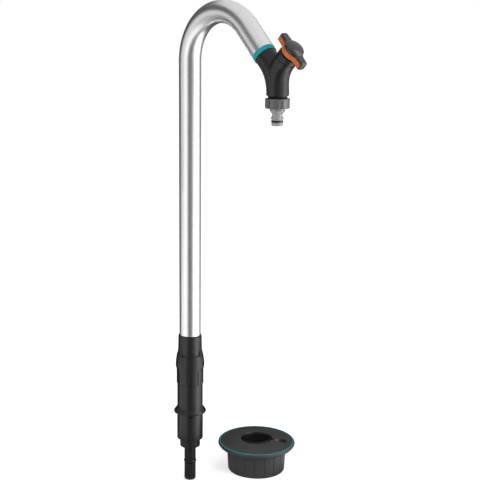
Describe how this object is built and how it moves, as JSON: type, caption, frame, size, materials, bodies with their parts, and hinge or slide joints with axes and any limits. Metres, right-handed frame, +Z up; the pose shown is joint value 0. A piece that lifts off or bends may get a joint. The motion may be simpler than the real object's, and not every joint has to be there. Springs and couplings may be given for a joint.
{
  "type": "garden tap",
  "caption": "Tall plug-in garden tap: bent aluminium standpipe with a quarter-turn knob and hose connector, and the round ground collar that locks its foot.",
  "frame": {"origin": "on the axis of the foot's plug nose, at its tip; the ground collar's underside is in the same plane", "axes": "+Z up along the standpipe, +X the way the spout reaches, +Y by the right-hand rule; the collar stands to the +Y side"},
  "size_m": [0.2531, 0.1919, 0.7295],
  "materials": {
    "black_plastic": "satin",
    "tube_metal": "satin",
    "teal_plastic": "satin",
    "orange_plastic": "satin",
    "dark_grey_plastic": "satin",
    "silver_grey_plastic": "satin",
    "red_plastic": "satin",
    "white_plastic": "satin",
    "rubber": "matt",
    "steel": "satin",
    "brass": "satin"
  },
  "bodies": {
    "ground_collar": {"collar_housing": "black_plastic", "collar_trim_ring": "teal_plastic", "collar_cover": "black_plastic", "cover_screws": "steel", "guide_sleeve": "black_plastic", "dirt_seal": "rubber"},
    "lock": {"lock_slider": "dark_grey_plastic", "lock_mark": "red_plastic"},
    "foot": {"plug_nose": "black_plastic", "plug_oring": "rubber", "spigot_orings": "rubber", "foot_barrel": "black_plastic", "bell_ring": "black_plastic"},
    "standpipe": {"riser_tube": "tube_metal", "trim_ring": "teal_plastic", "valve_body": "black_plastic", "inlet_orings": "rubber", "seat_seal": "rubber", "bonnet_ring": "black_plastic", "bonnet_oring": "rubber"},
    "collet": {"clamp_collet": "white_plastic"},
    "nut": {"grip_nut": "black_plastic"},
    "knob": {"valve_rotor": "white_plastic", "valve_stem": "brass", "stem_orings": "rubber", "knob_base": "black_plastic", "knob_accent": "orange_plastic", "knob_cap": "dark_grey_plastic", "knob_screw": "steel"},
    "washer": {"outlet_washer": "rubber"},
    "connector": {"hose_connector": "silver_grey_plastic", "connector_oring": "rubber"}
  },
  "joints": [
    {"name": "tap_lift", "type": "slide", "parent": "ground_collar", "child": "foot", "axis": [0, 0, 1], "range_m": [0, 0.106]},
    {"name": "lock_slide", "type": "slide", "parent": "ground_collar", "child": "lock", "axis": [-0.809, -0.5878, 0], "range_m": [0, 0.003]},
    {"name": "spout_swivel", "type": "hinge", "parent": "foot", "child": "standpipe", "pos_m": [0, 0, 0.11], "axis": [0, 0, 1], "continuous": true},
    {"name": "nut_lift", "type": "slide", "parent": "foot", "child": "collet", "axis": [0, 0, 1], "range_m": [0, 0.002]},
    {"name": "nut_turn", "type": "hinge", "parent": "collet", "child": "nut", "pos_m": [0, 0, 0.19], "axis": [0, 0, 1], "range_deg": [0, 240]},
    {"name": "valve_turn", "type": "hinge", "parent": "standpipe", "child": "knob", "pos_m": [0.17677, 0, 0.63572], "axis": [0.7071, 0, 0.7071], "range_deg": [-90, 0]},
    {"name": "connector_drop", "type": "slide", "parent": "standpipe", "child": "washer", "axis": [0, 0, -1], "range_m": [0, 0.00726]},
    {"name": "connector_turn", "type": "hinge", "parent": "washer", "child": "connector", "pos_m": [0.17957, 0, 0.59], "axis": [0, 0, -1], "range_deg": [0, 1440]}
  ],
  "couplings": [
    {"joint": "nut_lift", "follows": "nut_turn", "m_per_rad": 0.00047746},
    {"joint": "connector_drop", "follows": "connector_turn", "m_per_rad": 0.00028871}
  ]
}
